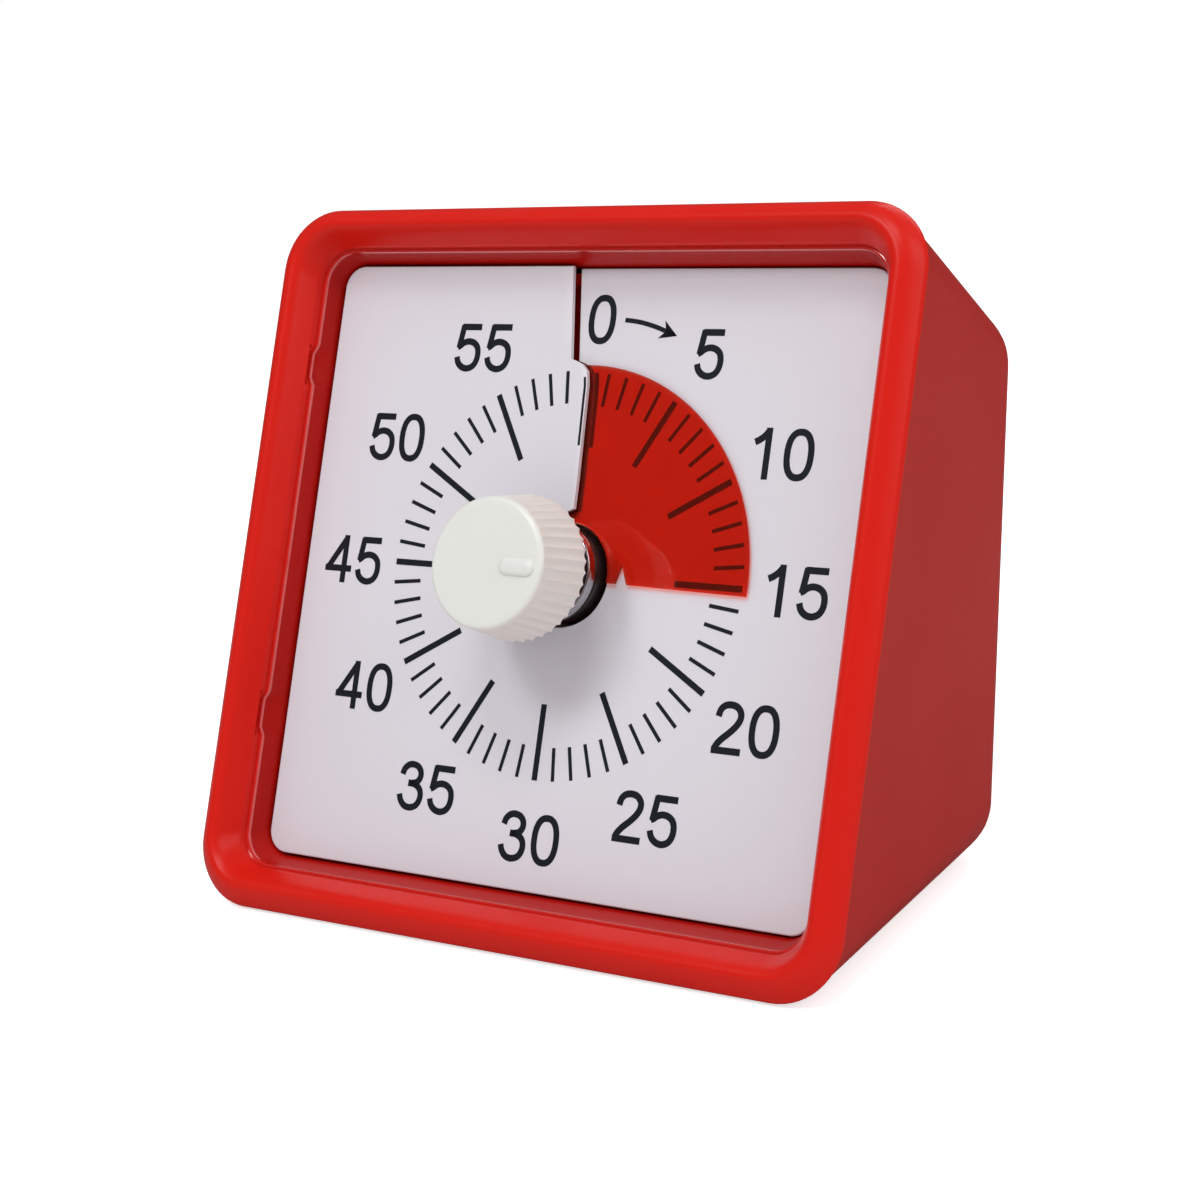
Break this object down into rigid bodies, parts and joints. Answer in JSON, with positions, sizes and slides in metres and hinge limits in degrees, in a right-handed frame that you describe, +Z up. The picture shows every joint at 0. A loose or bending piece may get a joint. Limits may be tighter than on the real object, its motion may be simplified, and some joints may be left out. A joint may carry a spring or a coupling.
{
  "type": "visual countdown timer",
  "caption": "Square desk countdown timer with a leaning sixty minute dial, a red time disc that winds out of a slit, and a fluted centre knob.",
  "frame": {"origin": "on the resting plane, under the middle of the case", "axes": "+Z up, -Y towards the user who reads the dial, +X to that user's right"},
  "size_m": [0.08, 0.06, 0.0734],
  "materials": {
    "bezel_red": "glossy moulded",
    "housing_red": "satin moulded",
    "dial_white": "satin sheet",
    "disc_red": "translucent film",
    "knob_white": "satin moulded",
    "black_plastic": "moulded",
    "nylon": "moulded",
    "steel": "bright",
    "brass": "plain",
    "copper": "enamelled winding",
    "board_green": "solder mask",
    "magnet": "sintered",
    "cell_sleeve": "printed sleeve",
    "lead_red": "insulation",
    "lead_black": "insulation"
  },
  "bodies": {
    "case": {"front_bezel": "bezel_red", "rear_housing": "housing_red", "dial_plate": "dial_white", "dial_support": "bezel_red", "movement_front_case": "nylon", "movement_rear_case": "nylon", "stator": "steel", "coil_bobbin": "black_plastic", "motor_coil": "copper", "motor_board": "board_green", "control_chip": "black_plastic", "timing_crystal": "steel", "zero_contact": "brass", "battery_cell": "cell_sleeve", "positive_contact": "steel", "negative_spring": "steel", "volume_switch_body": "steel", "alarm_switch_body": "steel", "switch_board": "board_green", "buzzer_case": "black_plastic", "buzzer_disc": "brass", "battery_lead_red": "lead_red", "battery_lead_black": "lead_black", "buzzer_lead": "lead_black", "switch_lead": "lead_black", "case_screw_1": "steel", "case_screw_2": "steel", "case_screw_3": "steel", "case_screw_4": "steel"},
    "knob_unit": {"knob": "knob_white", "centre_arbor": "steel", "hub_collar": "black_plastic", "hub_ring": "steel", "output_wheel": "nylon", "clutch_spring": "steel"},
    "disc": {"time_disc": "disc_red"},
    "second_wheel": {"second_wheel": "nylon"},
    "third_wheel": {"third_wheel": "nylon"},
    "rotor": {"rotor": "magnet"},
    "battery_door": {"battery_door": "housing_red"},
    "volume_switch": {"volume_switch": "black_plastic"},
    "alarm_switch": {"alarm_switch": "black_plastic"}
  },
  "joints": [
    {"name": "knob_turn", "type": "hinge", "parent": "case", "child": "knob_unit", "pos_m": [0, -0.01094, 0.03578], "axis": [0, 0.9397, -0.342], "range_deg": [-92, 268]},
    {"name": "disc_lift", "type": "slide", "parent": "knob_unit", "child": "disc", "axis": [0, -0.9397, 0.342], "range_m": [-0.0004, 0.001]},
    {"name": "second_wheel_turn", "type": "hinge", "parent": "case", "child": "second_wheel", "pos_m": [0.0105, 0.00095, 0.03921], "axis": [0, 0.9397, -0.342], "range_deg": [-1080, 380]},
    {"name": "third_wheel_turn", "type": "hinge", "parent": "case", "child": "third_wheel", "pos_m": [0.0024, 0.00259, 0.04372], "axis": [0, 0.9397, -0.342], "range_deg": [-1400, 4040]},
    {"name": "rotor_turn", "type": "hinge", "parent": "case", "child": "rotor", "pos_m": [-0.0053, 0.00353, 0.04338], "axis": [0, 0.9397, -0.342], "range_deg": [-16120, 5600]},
    {"name": "door_hinge", "type": "hinge", "parent": "case", "child": "battery_door", "pos_m": [0, 0.02294, 0.00612], "axis": [-1, 0, 0], "range_deg": [0, 80]},
    {"name": "volume_slide", "type": "slide", "parent": "case", "child": "volume_switch", "axis": [-1, 0, 0], "range_m": [0, 0.004]},
    {"name": "alarm_slide", "type": "slide", "parent": "case", "child": "alarm_switch", "axis": [-1, 0, 0], "range_m": [0, 0.004]}
  ],
  "couplings": [
    {"joint": "disc_lift", "follows": "knob_turn", "m_per_rad": 0.00019099},
    {"joint": "second_wheel_turn", "follows": "knob_turn", "ratio": -4},
    {"joint": "third_wheel_turn", "follows": "knob_turn", "ratio": 15},
    {"joint": "rotor_turn", "follows": "knob_turn", "ratio": -60}
  ]
}
